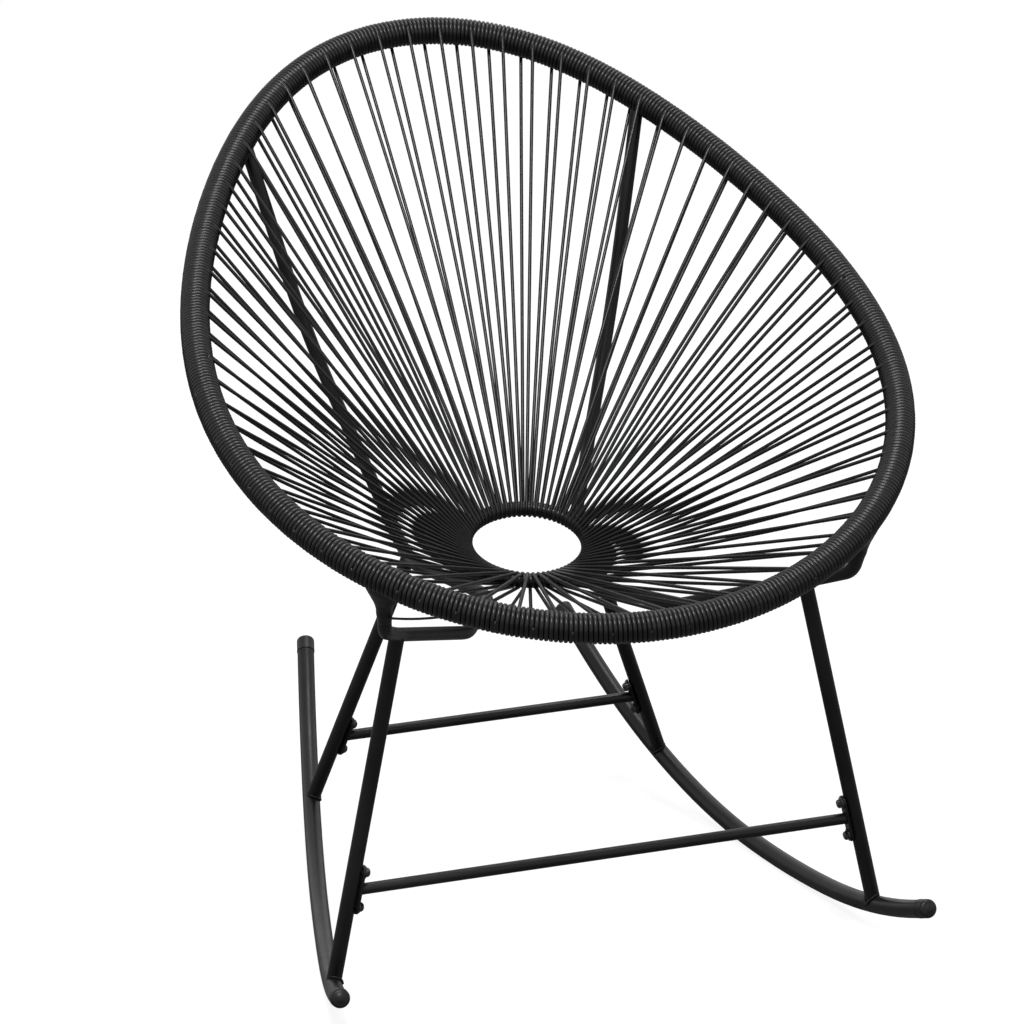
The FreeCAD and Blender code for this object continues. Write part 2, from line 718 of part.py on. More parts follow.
for obj in doc.Objects:
    if "Invalid" in obj.State or "Error" in obj.State:
        raise RuntimeError("%s: %s" % (obj.Label, obj.State))

os.makedirs("parts", exist_ok=True)
for node in NODES:
    part = doc.getObjectsByLabel(node)[0]
    if part.Shape.isNull() or not part.Shape.isValid():
        raise RuntimeError(node + " has no valid shape")
    part.Shape.exportStep("parts/%s.step" % node)
    box = part.Shape.BoundBox
    print("%-24s solids %3d  volume %9.0f  x %.1f %.1f  y %.1f %.1f  z %.1f %.1f" % (
        node, len(part.Shape.Solids), part.Shape.Volume,
        box.XMin, box.XMax, box.YMin, box.YMax, box.ZMin, box.ZMax))
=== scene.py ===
import math
import bpy
import numpy as np
from mathutils import Matrix, Vector


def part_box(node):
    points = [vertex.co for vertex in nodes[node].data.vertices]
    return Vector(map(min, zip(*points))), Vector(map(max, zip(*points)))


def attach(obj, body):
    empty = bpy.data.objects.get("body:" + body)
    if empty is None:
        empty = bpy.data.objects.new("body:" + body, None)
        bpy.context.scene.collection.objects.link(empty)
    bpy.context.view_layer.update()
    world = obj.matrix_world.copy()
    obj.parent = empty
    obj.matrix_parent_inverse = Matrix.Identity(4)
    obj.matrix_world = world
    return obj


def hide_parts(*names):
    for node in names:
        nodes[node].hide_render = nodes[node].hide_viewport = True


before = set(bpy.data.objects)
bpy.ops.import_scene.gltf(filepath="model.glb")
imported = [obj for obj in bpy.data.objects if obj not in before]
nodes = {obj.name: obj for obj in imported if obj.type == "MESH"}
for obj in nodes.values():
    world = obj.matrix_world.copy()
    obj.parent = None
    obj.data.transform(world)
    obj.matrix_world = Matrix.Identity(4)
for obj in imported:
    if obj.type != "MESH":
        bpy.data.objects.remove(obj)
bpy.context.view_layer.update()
rng = np.random.default_rng(7)
print("frame loaded:", len(nodes), "nodes")


# Shared helpers


# unit vectors along the last axis
def unit(vectors):
    return vectors / np.linalg.norm(vectors, axis=-1, keepdims=True)


# a smooth step from 0 to 1 between two values: 3u^2 - 2u^3
def smoothStep(low, high, values):
    share = np.clip((values - low) / (high - low), 0.0, 1.0)
    return share * share * (3 - 2 * share)


# Tubes on a grid: point = path + radius * (cos a * side + sin a * up), a running round the section,
# side the given direction squared to the path, up = path direction x side. Paths are cords x steps x 3.
def tubeGrid(paths, sideways, radius, sides):
    forward = unit(np.gradient(paths, axis=1))
    side = sideways - forward * np.sum(sideways * forward, axis=-1, keepdims=True)
    side = unit(side)
    up = np.cross(forward, side)
    turn = np.linspace(0, 2 * math.pi, sides, endpoint=False)
    reach = np.broadcast_to(np.asarray(radius, float), paths.shape[:2])[:, :, None, None]
    level = np.cos(turn)[None, None, :, None] * side[:, :, None]
    lift = np.sin(turn)[None, None, :, None] * up[:, :, None]
    return paths[:, :, None] + reach * (level + lift)


# Quads of a cords x steps x sides grid, closed round the section, with one many-sided face at each end.
def tubeFaces(count, steps, sides):
    index = np.arange(count * steps * sides).reshape(count, steps, sides)
    a = index[:, :-1]
    b = index[:, 1:]
    quads = np.stack([a, b, np.roll(b, -1, axis=2), np.roll(a, -1, axis=2)], axis=-1).reshape(-1, 4)
    ends = np.concatenate([index[:, 0], index[:, -1, ::-1]])
    return quads.tolist() + ends.tolist()


# a mesh object from points and faces, smooth, with an optional number per point
def makePiece(name, points, faces, material, values=None, rides=True):
    mesh = bpy.data.meshes.new(name)
    mesh.from_pydata(points.reshape(-1, 3).tolist(), [], faces)
    mesh.update()
    mesh.shade_smooth()
    for key, numbers in (values or {}).items():
        layer = mesh.attributes.new(key, "FLOAT", "POINT")
        layer.data.foreach_set("value", np.asarray(numbers, np.float32).ravel())
    mesh.materials.append(material)
    piece = bpy.data.objects.new(name, mesh)
    bpy.context.scene.collection.objects.link(piece)
    if rides:
        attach(piece, "root")
    return piece


# Materials


class Shader:
    # a principled material with a short way to add and join nodes
    def __init__(self, name, mirror=0.22):
        self.material = bpy.data.materials.new(name)
        self.material.use_nodes = True
        self.tree = self.material.node_tree
        self.surface = self.tree.nodes["Principled BSDF"]
        self.surface.inputs["Specular IOR Level"].default_value = mirror

    def add(self, kind, **settings):
        node = self.tree.nodes.new(kind)
        for key, value in settings.items():
            setattr(node, key, value)
        return node

    def join(self, source, target):
        self.tree.links.new(source, target)

    def noise(self, scale, detail, coordinates):
        node = self.add("ShaderNodeTexNoise")
        node.inputs["Scale"].default_value = scale
        node.inputs["Detail"].default_value = detail
        self.join(coordinates, node.inputs["Vector"])
        return node.outputs["Fac"]

    def place(self):
        return self.add("ShaderNodeTexCoord").outputs["Object"]

    def spread(self, source, low, high):
        # a number from 0..1 spread to low..high
        node = self.add("ShaderNodeMapRange")
        self.join(source, node.inputs["Value"])
        node.inputs["To Min"].default_value = low
        node.inputs["To Max"].default_value = high
        return node.outputs["Result"]

    def ramp(self, source, stops):
        node = self.add("ShaderNodeValToRGB")
        self.join(source, node.inputs["Fac"])
        band = node.color_ramp
        while len(band.elements) < len(stops):
            band.elements.new(0.5)
        for element, (at, colour) in zip(band.elements, stops):
            element.position = at
            element.color = (*colour, 1)
        return node.outputs["Color"]

    def bump(self, source, strength, depth):
        node = self.add("ShaderNodeBump")
        node.inputs["Strength"].default_value = strength
        node.inputs["Distance"].default_value = depth
        self.join(source, node.inputs["Height"])
        return node.outputs["Normal"]


cordLook = dict(dark=(0.004, 0.004, 0.0042), light=(0.010, 0.010, 0.0103), mirror=0.30,
                gloss=0.24, dull=0.36, dustScale=14.0,
                grainScale=900.0, grainStrength=0.25, grainDepth=0.0002)
paintLook = dict(dark=(0.003, 0.003, 0.0032), light=(0.014, 0.014, 0.0145), cloudScale=9.0,
                 gloss=0.26, dull=0.44, scuffScale=60.0,
                 peelScale=420.0, peelStrength=0.35, peelDepth=0.00006)
plainLook = dict(cloudScale=30.0, lighter=1.7, grainStrength=0.4)
cloudStops = (0.3, 0.7)


def makeCordMaterial():
    look = cordLook
    shader = Shader("black_plastic_cord", look["mirror"])
    place = shader.place()
    shade = shader.add("ShaderNodeAttribute", attribute_name="cordShade").outputs["Fac"]
    colour = shader.ramp(shade, ((0.0, look["dark"]), (1.0, look["light"])))
    dust = shader.noise(look["dustScale"], 5.0, place)
    shader.join(colour, shader.surface.inputs["Base Color"])
    shader.join(shader.spread(dust, look["gloss"], look["dull"]), shader.surface.inputs["Roughness"])
    grain = shader.noise(look["grainScale"], 3.0, place)
    relief = shader.bump(grain, look["grainStrength"], look["grainDepth"])
    shader.join(relief, shader.surface.inputs["Normal"])
    return shader.material


def makePaintMaterial():
    look = paintLook
    shader = Shader("black_coated_steel")
    place = shader.place()
    cloud = shader.noise(look["cloudScale"], 4.0, place)
    colour = shader.ramp(cloud, ((cloudStops[0], look["dark"]), (cloudStops[1], look["light"])))
    shader.join(colour, shader.surface.inputs["Base Color"])
    scuff = shader.noise(look["scuffScale"], 6.0, place)
    shader.join(shader.spread(scuff, look["gloss"], look["dull"]), shader.surface.inputs["Roughness"])
    peel = shader.noise(look["peelScale"], 2.0, place)
    shader.join(shader.bump(peel, look["peelStrength"], look["peelDepth"]), shader.surface.inputs["Normal"])
    return shader.material


def makePlainBlack(name, gloss, dull, grainScale, grainDepth, tone, mirror=0.22):
    shader = Shader(name, mirror)
    place = shader.place()
    cloud = shader.noise(plainLook["cloudScale"], 4.0, place)
    dark = (tone, tone, tone)
    light = (tone * plainLook["lighter"],) * 3
    colour = shader.ramp(cloud, ((cloudStops[0], dark), (cloudStops[1], light)))
    shader.join(colour, shader.surface.inputs["Base Color"])
    shader.join(shader.spread(cloud, gloss, dull), shader.surface.inputs["Roughness"])
    grain = shader.noise(grainScale, 3.0, place)
    shader.join(shader.bump(grain, plainLook["grainStrength"], grainDepth), shader.surface.inputs["Normal"])
    return shader.material


cordBlack = makeCordMaterial()
steelBlack = makePaintMaterial()
capBlack = makePlainBlack("moulded_cap_plastic", 0.32, 0.50, 700.0, 0.0001, 0.008)
wrapBlack = makePlainBlack("smooth_tube_wrap", 0.30, 0.42, 180.0, 0.0002, 0.006)
boltBlack = makePlainBlack("blackened_fastener", 0.14, 0.30, 500.0, 0.00005, 0.010, mirror=0.6)
print("materials ready")


def dress(node, material):
    mesh = nodes[node].data
    mesh.materials.clear()
    mesh.materials.append(material)


# The hoop and ring read from the frame

# each layer starts a shift along the hoop and a turn round the ring; side tubes join the hoop at two lengths
cord = dict(radius=0.00215, perLayer=72, turnsPerCord=8, gap=0.0003,
            upperShift=-0.0055, lowerShift=-0.0213, upperTurn=-4.4, lowerTurn=-6.9,
            rearJoint=0.2757, rearClear=0.01285, frontJoint=1.0274, frontClear=0.02005)
hoopRadius = 0.0106

hoopWaves = dict(
    across=(0.3410, -0.0427, 0.0051, 0.0032),
    along=(0.0226, 0.4323, -0.0226),
    height=(0.6552, 0.1987, -0.0055, 0.0025),
)


# Hoop centre line: sums of sine waves across and cosine waves along and up, angle 0 at the back's middle,
# then fitted to the box of the bare hoop.
def rawHoop(angle):
    across = sum(size * np.sin((wave + 1) * angle) for wave, size in enumerate(hoopWaves["across"]))
    along = sum(size * np.cos(wave * angle) for wave, size in enumerate(hoopWaves["along"]))
    height = sum(size * np.cos(wave * angle) for wave, size in enumerate(hoopWaves["height"]))
    return np.stack([across, along, height], axis=-1)


denseAngles = np.linspace(0, 2 * math.pi, 7201)
denseRaw = rawHoop(denseAngles)
hoopLow, hoopHigh = (np.array(corner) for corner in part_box("rim_hoop"))
hoopScale = (hoopHigh - hoopLow - 2 * hoopRadius) / (denseRaw.max(axis=0) - denseRaw.min(axis=0))
hoopMiddle = (hoopHigh + hoopLow) / 2
rawMiddle = (denseRaw.max(axis=0) + denseRaw.min(axis=0)) / 2
denseHoop = (denseRaw - rawMiddle) * hoopScale + hoopMiddle
hoopLengths = np.concatenate([[0], np.cumsum(np.linalg.norm(np.diff(denseHoop, axis=0), axis=1))])
hoopLength = hoopLengths[-1]
print("hoop length", round(hoopLength, 3), "scaled by", np.round(hoopScale, 4))


# points and headings of the hoop at the given lengths along it
def hoopAt(lengths):
    wrapped = np.mod(lengths, hoopLength)
    points = np.stack([np.interp(wrapped, hoopLengths, denseHoop[:, axis]) for axis in range(3)], axis=-1)
    closed = denseHoop[:-1]
    slopes = (np.roll(closed, -1, axis=0) - np.roll(closed, 1, axis=0)) / 2
    slopes = np.concatenate([slopes, slopes[:1]])
    headings = np.stack([np.interp(wrapped, hoopLengths, slopes[:, axis]) for axis in range(3)], axis=-1)
    return points, unit(headings)


ringLow, ringHigh = (np.array(corner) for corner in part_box("seat_ring"))
ringRod = 0.005
ringCentre = (ringLow + ringHigh) / 2
ringRadius = (ringHigh[0] - ringLow[0]) / 2 - ringRod
ringTilt = math.asin(((ringHigh[2] - ringLow[2]) / 2 - ringRod) / ringRadius)


# Ring centre line: a circle in the plane tilted about X; angle 0 is its back, the same way round as the hoop.
def ringAt(angle):
    back = np.array([0, math.cos(ringTilt), math.sin(ringTilt)])
    across = np.array([1.0, 0, 0])
    out = np.sin(angle)[..., None] * across + np.cos(angle)[..., None] * back
    heading = np.cos(angle)[..., None] * across - np.sin(angle)[..., None] * back
    return ringCentre + ringRadius * out, heading


# The winding round the hoop

winding = dict(stepsPerTurn=22, sides=8, wobble=0.00007, quarters=4, pressed=0.0002)
windingLine = hoopRadius + cord["gap"] + cord["radius"]


# the direction from the hoop's centre line to where a cord leaves its top: heading x run, turned upwards
def upwards(heading, run):
    side = unit(np.cross(heading, run))
    return side * np.sign(side[..., 2:3])


# Winding: a helix round the hoop, point = hoop(s) + r * (cos a * top + sin a * inner), a whole number of
# turns to each strung cord, with a = 0 on top just where the strung cords leave. The cord is a little
# thicker than its true radius and sunk by as much, so that its turns press into one another.
def makeWinding():
    turns = cord["perLayer"] * cord["turnsPerCord"]
    perPiece = turns // winding["quarters"]
    steps = perPiece * winding["stepsPerTurn"] + 1
    levels = rng.normal(0, winding["wobble"], turns + 1)
    shades = rng.uniform(0, 1, turns + 1)
    for quarter in range(winding["quarters"]):
        turn = np.linspace(quarter * perPiece, (quarter + 1) * perPiece, steps)
        centre, heading = hoopAt(turn / turns * hoopLength + cord["upperShift"])
        top = upwards(heading, unit(ringCentre - centre))
        inner = np.cross(top, heading)
        inner = inner * np.sign(np.sum(inner * (ringCentre - centre), axis=1, keepdims=True))
        angle = turn * 2 * math.pi
        level = np.interp(turn, np.arange(turns + 1), levels)
        radial = np.cos(angle)[:, None] * top + np.sin(angle)[:, None] * inner
        path = centre + (windingLine - winding["pressed"] + level)[:, None] * radial
        grid = tubeGrid(path[None], radial[None], cord["radius"] + winding["pressed"], winding["sides"])
        shade = np.repeat(np.interp(turn, np.arange(turns + 1), shades)[:, None], winding["sides"], axis=1)
        faces = tubeFaces(1, steps, winding["sides"])
        piece = makePiece("hoop_winding_%d" % (quarter + 1), grid, faces, cordBlack, dict(cordShade=shade))
        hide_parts("rim_winding")
    print("winding:", turns, "turns")


makeWinding()


# The strung cords

strung = dict(radius=0.0019, bendSteps=7, leadIn=0.006, leadOut=0.010, rideOver=0.0016, runSteps=3,
              ringSteps=9, sides=8, rimTurn=1.4, jitter=0.0007)


# lengths moved aside from the side tubes' joints, where a cord would meet the tube
def besideJoints(lengths):
    middle = np.mod(lengths + hoopLength / 2, hoopLength) - hoopLength / 2
    for joint, clear in ((cord["rearJoint"], cord["rearClear"]), (cord["frontJoint"], cord["frontClear"])):
        for side in (-1, 1):
            away = middle - side * joint
            middle = np.where(np.abs(away) < clear, side * joint + np.where(away < 0, -clear, clear), middle)
    return middle


# One strung loop: off the top of the hoop, straight to the ring, round its inner side, and straight back
# under the hoop. The bend off the hoop is (1-u)^2 * lead-in + 2u(1-u) * top + u^2 * lead-out, those round
# the ring and under the hoop are arcs.
def makeStrungCords():
    count = cord["perLayer"]
    station = np.arange(count)
    jitter = rng.normal(0, strung["jitter"], count)
    upperRim, upperHeading = hoopAt(station * hoopLength / count + cord["upperShift"])
    lowerLengths = besideJoints(station * hoopLength / count + cord["lowerShift"] + jitter)
    lowerRim, lowerHeading = hoopAt(lowerLengths)
    turn = station * 2 * math.pi / count
    upperRing, upperRingHeading = ringAt(turn + math.radians(cord["upperTurn"]))
    lowerRing, lowerRingHeading = ringAt(turn + math.radians(cord["lowerTurn"]))
    ringLine = ringRod + cord["gap"] + cord["radius"]
    run = unit(upperRing - upperRim)
    lowerRun = unit(lowerRing - lowerRim)
    rimUp = upwards(upperHeading, run)
    lowerUp = upwards(lowerHeading, lowerRun)
    upperRingUp = upwards(upperRingHeading, run)
    lowerRingUp = upwards(lowerRingHeading, lowerRun)

    slant = np.abs(np.sum(run * upperHeading, axis=1, keepdims=True))
    inward = unit(run - upperHeading * np.sum(run * upperHeading, axis=1, keepdims=True))
    top = upperRim + (windingLine + strung["rideOver"] * slant) * rimUp
    swing = strung["leadIn"] / windingLine
    leadIn = upperRim + windingLine * (math.cos(swing) * rimUp - math.sin(swing) * inward)
    leadOut = top + strung["leadOut"] * run
    parts = []
    for share in np.linspace(0, 1, strung["bendSteps"]):
        parts.append((1 - share) ** 2 * leadIn + 2 * share * (1 - share) * top + share ** 2 * leadOut)
    ringTop = upperRing + ringLine * upperRingUp
    for share in np.linspace(0, 1, strung["runSteps"] + 2)[1:-1]:
        parts.append(leadOut + (ringTop - leadOut) * share)
    for bend in np.linspace(0, math.pi, strung["ringSteps"]):
        share = bend / math.pi
        centre = upperRing + (lowerRing - upperRing) * share
        up = unit(upperRingUp * (1 - share) + lowerRingUp * share)
        along = unit(run * (1 - share) + lowerRun * share)
        parts.append(centre + ringLine * (math.cos(bend) * up + math.sin(bend) * along))
    ringUnder = parts[-1]
    finish = lowerRim - windingLine * lowerUp
    for share in np.linspace(0, 1, strung["runSteps"] + 2)[1:-1]:
        parts.append(ringUnder + (finish - ringUnder) * share)
    for bend in np.linspace(0, strung["rimTurn"], strung["bendSteps"]):
        parts.append(lowerRim - windingLine * (math.cos(bend) * lowerUp + math.sin(bend) * lowerRun))
    paths = np.stack(parts, axis=1)
    sideways = np.repeat(upperHeading[:, None], paths.shape[1], axis=1)
    grid = tubeGrid(paths, sideways, strung["radius"], strung["sides"])
    shade = np.broadcast_to(rng.uniform(0, 1, count)[:, None, None], grid.shape[:3])
    faces = tubeFaces(count, paths.shape[1], strung["sides"])
    piece = makePiece("strung_cords", grid, faces, cordBlack, dict(cordShade=shade))
    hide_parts("seat_cords_upper", "seat_cords_lower", "ring_winding")
    print("strung cords:", count, "loops,", len(faces), "faces")


makeStrungCords()


# height is in cord radii above the ring's rod; shade is a fixed tone below the cords' average, painted shade
# under the loops round the ring
ringFill = dict(sides=14, stepsPerLoop=6, height=1.25, wave=0.0004, wavesPerLoop=2, shade=0.2)


# The close winding under the loops of the ring: a torus, point = ring(b) + r * (cos a * out + sin a * up),
# with r waving twice for every loop.
def makeRingFill():
    loops = cord["perLayer"]
    sides = ringFill["sides"]
    angle = np.linspace(0, 2 * math.pi, loops * ringFill["stepsPerLoop"], endpoint=False)
    centre, heading = ringAt(angle)
    out = unit(centre - ringCentre)
    up = np.cross(out, heading)
    ripple = ringFill["wave"] * np.cos(angle * loops * ringFill["wavesPerLoop"])
    level = ringRod + ringFill["height"] * cord["radius"] + ripple
    turn = np.linspace(0, 2 * math.pi, sides, endpoint=False)
    around = np.cos(turn)[None, :, None] * out[:, None] + np.sin(turn)[None, :, None] * up[:, None]
    grid = centre[:, None] + level[:, None, None] * around
    index = np.arange(len(angle) * sides).reshape(len(angle), sides)
    ahead = np.roll(index, -1, axis=0)
    quads = np.stack([index, np.roll(index, -1, axis=1), np.roll(ahead, -1, axis=1), ahead], axis=-1)
    # the cord's own black, held darker than the strung cords' average: painted shade under the loops
    shade = np.full(grid.shape[:2], ringFill["shade"])
    makePiece("ring_close_winding", grid, quads.reshape(-1, 4).tolist(), cordBlack, dict(cordShade=shade))


makeRingFill()


# Places read from the solids


# all corners of one node's mesh
def corners(node):
    mesh = nodes[node].data
    flat = np.empty(len(mesh.vertices) * 3)
    mesh.vertices.foreach_get("co", flat)
    return flat.reshape(-1, 3)


# a direction along which none of the tubes run
slanting = np.array([0.31, 0.95, 0.07])


# two directions square to one another and to a third
def squareTo(direction):
    side = unit(np.cross(direction, slanting))
    return side, np.cross(direction, side)


# Axis of a round tube near a place: the main direction of its corners there, through the middle of their
# spread both ways across.
def tubeAxis(node, place=None, reach=1.0):
    found = corners(node)
    if place is not None:
        found = found[np.linalg.norm(found - place, axis=1) < reach]
    middle = found.mean(axis=0)
    direction = np.linalg.svd(found - middle, full_matrices=False)[2][0]
    for side in squareTo(direction):
        across = (found - middle) @ side
        middle = middle + side * (across.max() + across.min()) / 2
    return middle, direction


# a surface of rings along a path: rings x sides points, closed round, with a face over each end
def ringFaces(rings, sides):
    index = np.arange(rings * sides).reshape(rings, sides)
    quads = np.stack([index[:-1], np.roll(index[:-1], -1, axis=1), np.roll(index[1:], -1, axis=1), index[1:]],
                     axis=-1).reshape(-1, 4)
    return quads.tolist() + [index[0, ::-1].tolist(), index[-1].tolist()]


# The wraps on the side tubes' uprights

# startBand: how much of the solid's low end is taken for its first ring
wrap = dict(radius=0.0081, thinEdge=0.0010, edgeLength=0.012, alongFlare=0.0140, acrossFlare=0.0045,
            flareLength=0.036, flarePower=1.4, sink=0.007, startBand=0.0006, rings=26, sides=40,
            crease=0.00006, creases=5)


# Wrap: an oval round the upright, half-widths = radius + flare * s^1.4 with s a smooth step from 0 to 1 up to
# the hoop, wider along the hoop than across it, with shallow creases running round.
def makeWraps():
    for side, name in ((-1, "left"), (1, "right")):
        joint, heading = hoopAt(np.array([side * cord["frontJoint"]]))
        joint, heading = joint[0], heading[0]
        found = corners(name + "_front_wrap")
        up = unit(joint - found.mean(axis=0))
        height = found @ up
        start = found[height < height.min() + wrap["startBand"]].mean(axis=0)
        up = unit(joint - start)
        length = np.linalg.norm(joint - start) - wrap["sink"]
        along = unit(heading - up * (heading @ up))
        across = np.cross(up, along)
        rise = np.linspace(0, length, wrap["rings"])
        swell = smoothStep(length - wrap["flareLength"], length, rise) ** wrap["flarePower"]
        base = wrap["radius"] - wrap["thinEdge"] * (1 - smoothStep(0, wrap["edgeLength"], rise))
        crease = wrap["crease"] * np.sin(rise / length * wrap["creases"] * 2 * math.pi)
        turn = np.linspace(0, 2 * math.pi, wrap["sides"], endpoint=False)
        wide = (base + crease + wrap["alongFlare"] * swell)[:, None, None]
        deep = (base + crease + wrap["acrossFlare"] * swell)[:, None, None]
        grid = (start + rise[:, None, None] * up + wide * np.cos(turn)[None, :, None] * along
                + deep * np.sin(turn)[None, :, None] * across)
        piece = makePiece(name + "_upright_wrap", grid, ringFaces(wrap["rings"], wrap["sides"]), wrapBlack)
        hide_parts(name + "_front_wrap")


makeWraps()

# the cord's loose-laid end from the left wrap back under the hoop
tail = dict(onWrap=0.14, backAlong=0.064, sag=0.0018, radius=0.0013, startBand=0.004, lean=0.01,
            steps=16, sides=8)


# Cord end: a line from the wrap to the hoop's underside with a sag of 4 * sag * u * (1 - u).
def makeCordTail():
    joint = hoopAt(np.array([-cord["frontJoint"]]))[0][0]
    found = corners("left_front_wrap")
    low = found[found[:, 2] < found[:, 2].min() + tail["startBand"]].mean(axis=0)
    start = low + (joint - low) * tail["onWrap"]
    under, heading = hoopAt(np.array([-cord["frontJoint"] - tail["backAlong"]]))
    finish = under[0] - np.array([0, 0, windingLine])
    share = np.linspace(0, 1, tail["steps"])[:, None]
    path = start + (finish - start) * share - np.array([0, 0, 4 * tail["sag"]]) * share * (1 - share)
    along = np.repeat(heading, tail["steps"], axis=0)
    sideways = np.cross(along, np.array([0, 0, 1.0])) + tail["lean"] * along
    grid = tubeGrid(path[None], sideways[None], tail["radius"], tail["sides"])
    shade = np.zeros(grid.shape[:3])
    makePiece("cord_tail", grid, tubeFaces(1, tail["steps"], tail["sides"]), cordBlack, dict(cordShade=shade))


makeCordTail()


# The caps on the rockers' ends

cap = dict(radius=0.0099, inside=0.0090, cover=0.020, edge=0.0042, dome=0.0016, tipBack=0.0015,
           lip=0.00015, lipWidth=0.0009, lipEnd=0.0013, middleHole=0.0004, axisReach=0.05,
           edgeSteps=7, domeSteps=5, sides=48)


# Cap: a profile turned round the tube's axis: a straight sleeve with a small lip where it stops on the tube,
# a rounded edge and a faintly domed end.
def makeCaps():
    for name in ("left", "right"):
        for end in ("front", "rear"):
            node = "%s_rocker_%s_cap" % (name, end)
            found = corners(node)
            middle, direction = tubeAxis(name + "_rocker", found.mean(axis=0), cap["axisReach"])
            fromRocker = found.mean(axis=0) - corners(name + "_rocker").mean(axis=0)
            out = direction * np.sign(fromRocker @ direction)
            reach = (found - middle) @ out
            tip = middle + out * (reach.max() - cap["tipBack"])
            turnIn = np.linspace(0, math.pi / 2, cap["edgeSteps"])
            rim = cap["radius"] - cap["edge"] + cap["edge"] * np.cos(turnIn)
            drop = cap["edge"] * (1 - np.sin(turnIn)) + cap["dome"]
            dome = np.linspace(rim[-1], cap["middleHole"], cap["domeSteps"] + 1)[1:]
            lipRadius = cap["radius"] + cap["lip"]
            sleeveRadii = [cap["inside"], lipRadius, lipRadius, cap["radius"]]
            sleeveDepths = [cap["cover"], cap["cover"], cap["cover"] - cap["lipWidth"],
                            cap["cover"] - cap["lipEnd"]]
            radii = np.concatenate([sleeveRadii, rim, dome])
            depth = np.concatenate([sleeveDepths, drop, cap["dome"] * (dome / rim[-1]) ** 2])
            side, lift = squareTo(out)
            turn = np.linspace(0, 2 * math.pi, cap["sides"], endpoint=False)
            around = np.cos(turn)[:, None] * side + np.sin(turn)[:, None] * lift
            grid = tip - depth[:, None, None] * out + radii[:, None, None] * around
            piece = makePiece(node + "_moulded", grid, ringFaces(len(radii), cap["sides"]), capBlack)
            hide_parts(node)


makeCaps()


# The welds

# proud: how far a bead's middle line stands off the tube; the reaches say how much of it gives its axis
weld = dict(bead=0.0013, ripple=0.00028, ripples=26, steps=104, sides=8, proud=0.0002,
            legRadius=0.0078, rockerRadius=0.0095, sideRadius=0.0070, footReach=0.07, topReach=0.05)


# Weld bead: a thin tube whose radius ripples, carried round the line where a round tube of radius r meets
# another, worked out point by point: r * (cos a * side + sin a * lift) + h * axis, with h from the other
# tube's surface.
def beadPath(middle, axis, radius, otherMiddle, otherAxis, otherRadius, towards):
    turn = np.linspace(0, 2 * math.pi, weld["steps"] + 1)
    side, lift = squareTo(axis)
    edge = middle + radius * (np.cos(turn)[:, None] * side + np.sin(turn)[:, None] * lift)
    flatAxis = axis - otherAxis * (axis @ otherAxis)
    gap = edge - otherMiddle
    flatGap = gap - np.outer(gap @ otherAxis, otherAxis)
    a = flatAxis @ flatAxis
    b = flatGap @ flatAxis
    c = np.sum(flatGap * flatGap, axis=1) - otherRadius ** 2
    root = np.sqrt(np.maximum(b * b - a * c, 0))
    height = (-b - towards * root) / a
    return edge + height[:, None] * axis


def makeBead(name, path):
    turn = np.linspace(0, 2 * math.pi, weld["steps"] + 1)
    radius = weld["bead"] + weld["ripple"] * np.sin(turn * weld["ripples"])
    sideways = path - path.mean(axis=0)
    grid = tubeGrid(path[None], sideways[None], radius[None], weld["sides"])
    makePiece(name, grid, tubeFaces(1, weld["steps"] + 1, weld["sides"]), steelBlack)


def makeWelds():
    for name in ("left", "right"):
        for end in ("front", "rear"):
            leg = "%s_%s_leg" % (name, end)
            found = corners(leg)
            middle, axis = tubeAxis(leg)
            axis = axis * np.sign(axis[2])
            height = (found - middle) @ axis
            foot = middle + axis * height.min()
            head = middle + axis * height.max()
            rockerMiddle, rockerAxis = tubeAxis(name + "_rocker", foot, weld["footReach"])
            footPath = beadPath(middle, axis, weld["legRadius"], rockerMiddle, rockerAxis,
                                weld["rockerRadius"] + weld["proud"], -1)
            makeBead(leg + "_foot_weld", footPath)
            tubeMiddle, sideAxis = tubeAxis(name + "_side_tube", head, weld["topReach"])
            topPath = beadPath(middle, axis, weld["legRadius"], tubeMiddle, sideAxis,
                               weld["sideRadius"] + weld["proud"], 1)
            makeBead(leg + "_top_weld", topPath)


makeWelds()
print("wraps, caps and welds ready")


# Steel tubes and fastenings keep their solids

for node in nodes:
    dress(node, boltBlack if node.startswith("crossbar_") else steelBlack)


# Floor, light and camera

# floorShine is the white that the floor gives off by itself where it is looked at
studio = dict(floorSize=40.0, floorShine=0.88, floorColour=(0.22, 0.22, 0.22), floorDull=0.9,
              skyStrength=0.20, aimHeight=0.45,
              keyPower=170.0, keyPlace=(-1.0, -2.2, 4.4), keySize=1.3,
              topPower=95.0, topPlace=(1.2, 1.2, 4.6), topSize=2.2)


# 1 where one of these kinds of ray looks, 0 for the light that falls on the chair
def seenBy(tree, *kinds):
    rays = tree.nodes.new("ShaderNodeLightPath")
    seen = rays.outputs[kinds[0]]
    for kind in kinds[1:]:
        either = tree.nodes.new("ShaderNodeMath")
        either.operation = "MAXIMUM"
        tree.links.new(seen, either.inputs[0])
        tree.links.new(rays.outputs[kind], either.inputs[1])
        seen = either.outputs["Value"]
    return seen


def makeFloor():
    half = studio["floorSize"] / 2
    plate = np.array([[-half, -half, 0], [half, -half, 0], [half, half, 0], [-half, half, 0]])
    shader = Shader("pale_floor")
    shader.surface.inputs["Base Color"].default_value = (*studio["floorColour"], 1)
    shader.surface.inputs["Roughness"].default_value = studio["floorDull"]
    shader.surface.inputs["Emission Color"].default_value = (1, 1, 1, 1)
    seen = seenBy(shader.tree, "Is Camera Ray", "Is Transmission Ray")
    shine = shader.spread(seen, 0.0, studio["floorShine"])
    shader.join(shine, shader.surface.inputs["Emission Strength"])
    floor = makePiece("floor", plate, [[0, 1, 2, 3]], shader.material, rides=False)


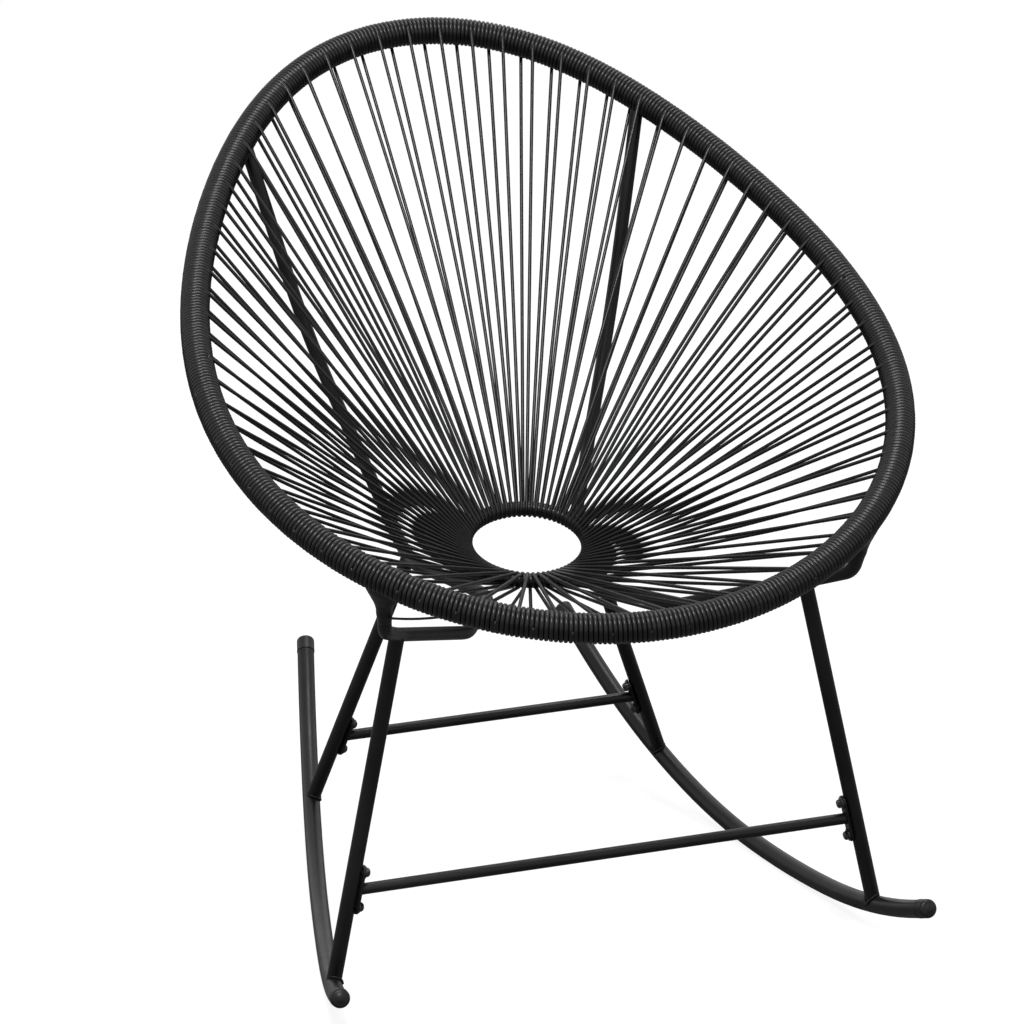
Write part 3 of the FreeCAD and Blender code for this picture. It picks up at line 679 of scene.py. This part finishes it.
def makeLamp(name, place, power, size):
    data = bpy.data.lights.new(name, "AREA")
    data.shape = "DISK"
    data.energy = power
    data.size = size
    lamp = bpy.data.objects.new(name, data)
    lamp.location = place
    aim = Vector((0, 0, studio["aimHeight"])) - Vector(place)
    lamp.rotation_euler = aim.to_track_quat("-Z", "Y").to_euler()
    bpy.context.scene.collection.objects.link(lamp)


def makeSky():
    world = bpy.data.worlds.new("studio")
    world.use_nodes = True
    tree = world.node_tree
    sky = tree.nodes["Background"]
    sky.inputs["Color"].default_value = (1, 1, 1, 1)
    strength = tree.nodes.new("ShaderNodeMapRange")
    strength.inputs["To Min"].default_value = studio["skyStrength"]
    strength.inputs["To Max"].default_value = 1.0
    seen = seenBy(tree, "Is Camera Ray", "Is Glossy Ray", "Is Transmission Ray")
    tree.links.new(seen, strength.inputs["Value"])
    tree.links.new(strength.outputs["Result"], sky.inputs["Strength"])
    bpy.context.scene.world = world


photoView = dict(aim=(-0.0239, 0.0, 0.4312), azimuth=-15.41, elevation=18.22, roll=-2.19,
                 distance=4.517, lens=153.32, filmWidth=36.0, farEnd=100.0)


def makeCamera():
    azimuth = math.radians(photoView["azimuth"])
    elevation = math.radians(photoView["elevation"])
    roll = math.radians(photoView["roll"])
    level = math.cos(elevation)
    back = Vector((math.sin(azimuth) * level, -math.cos(azimuth) * level, math.sin(elevation)))
    right = Vector((math.cos(azimuth), math.sin(azimuth), 0))
    up = back.cross(right)
    turned = right * math.cos(roll) + up * math.sin(roll)
    raised = up * math.cos(roll) - right * math.sin(roll)
    data = bpy.data.cameras.new("photo_camera")
    data.lens = photoView["lens"]
    data.sensor_width = photoView["filmWidth"]
    data.clip_end = photoView["farEnd"]
    camera = bpy.data.objects.new("photo_camera", data)
    turn = Matrix((turned, raised, back)).transposed().to_4x4()
    place = Vector(photoView["aim"]) + back * photoView["distance"]
    camera.matrix_world = Matrix.Translation(place) @ turn
    bpy.context.scene.collection.objects.link(camera)
    bpy.context.scene.camera = camera


makeFloor()
makeLamp("key_light", studio["keyPlace"], studio["keyPower"], studio["keySize"])
makeLamp("top_light", studio["topPlace"], studio["topPower"], studio["topSize"])
makeSky()
makeCamera()
bpy.context.scene.view_settings.view_transform = "Standard"
print("studio ready")
